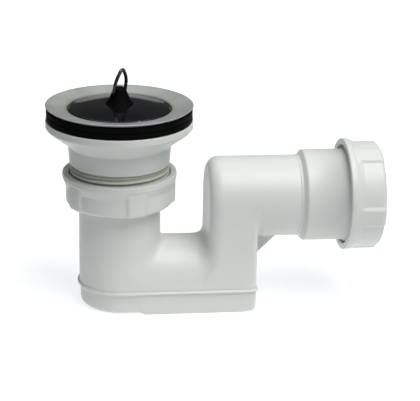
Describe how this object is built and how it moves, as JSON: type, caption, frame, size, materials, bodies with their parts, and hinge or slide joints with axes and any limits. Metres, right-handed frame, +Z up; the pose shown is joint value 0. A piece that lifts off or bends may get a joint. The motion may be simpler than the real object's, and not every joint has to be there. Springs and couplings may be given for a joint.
{
  "type": "shower trap",
  "caption": "Low shower trap: round waste with a plug on its upright inlet, a vaulted water seal under a partition, and a side outlet for a waste pipe, joined by coupling nuts.",
  "frame": {"origin": "the flat underside of the base, on the axis of the inlet", "axes": "+Z up along the inlet, +X along the outlet towards its mouth"},
  "size_m": [0.1611, 0.07, 0.1182],
  "materials": {
    "white_plastic": "satin moulded white polypropylene",
    "stainless": "polished stainless steel",
    "brass": "turned brass",
    "black_rubber": "matt black rubber",
    "gloss_rubber": "gloss black rubber",
    "black_wire": "gloss black"
  },
  "bodies": {
    "trap": {"trap_body": "white_plastic", "base_cap": "white_plastic"},
    "inlet_seal": {"inlet_seal": "black_rubber"},
    "waste": {"waste_body": "white_plastic", "waste_flange": "stainless", "lower_washer": "black_rubber", "upper_washer": "black_rubber", "flange_screw": "stainless", "screw_insert": "brass"},
    "inlet_ring": {"inlet_slip_ring": "white_plastic"},
    "inlet_nut": {"inlet_nut": "white_plastic"},
    "plug": {"plug": "gloss_rubber"},
    "pull_ring": {"pull_ring": "black_wire"},
    "outlet_ring": {"outlet_slip_ring": "white_plastic", "outlet_seal": "black_rubber"},
    "outlet_nut": {"outlet_nut": "white_plastic"}
  },
  "joints": [
    {"name": "height_adjust", "type": "slide", "parent": "trap", "child": "inlet_seal", "axis": [0, 0, 1], "range_m": [0, 0.012]},
    {"name": "waste_swivel", "type": "hinge", "parent": "inlet_seal", "child": "waste", "pos_m": [0, 0, 0.0568], "axis": [0, 0, 1], "continuous": true},
    {"name": "inlet_nut_travel", "type": "slide", "parent": "waste", "child": "inlet_ring", "axis": [0, 0, -1], "range_m": [0, 0.0081]},
    {"name": "inlet_nut_turn", "type": "hinge", "parent": "inlet_ring", "child": "inlet_nut", "pos_m": [0, 0, 0.0523], "axis": [0, 0, -1], "range_deg": [0, 1260]},
    {"name": "plug_lift", "type": "slide", "parent": "waste", "child": "plug", "axis": [0, 0, 1], "range_m": [0, 0.05]},
    {"name": "ring_swing", "type": "hinge", "parent": "plug", "child": "pull_ring", "pos_m": [0, 0, 0.1061], "axis": [-0.5736, -0.8192, 0], "range_deg": [-77, 93]},
    {"name": "outlet_nut_travel", "type": "slide", "parent": "trap", "child": "outlet_ring", "axis": [1, 0, 0], "range_m": [0, 0.0081]},
    {"name": "outlet_nut_turn", "type": "hinge", "parent": "outlet_ring", "child": "outlet_nut", "pos_m": [0.1261, 0, 0.0534], "axis": [1, 0, 0], "range_deg": [0, 1260]}
  ],
  "couplings": [
    {"joint": "inlet_nut_travel", "follows": "inlet_nut_turn", "m_per_rad": 0.00036749},
    {"joint": "outlet_nut_travel", "follows": "outlet_nut_turn", "m_per_rad": 0.00036749}
  ]
}
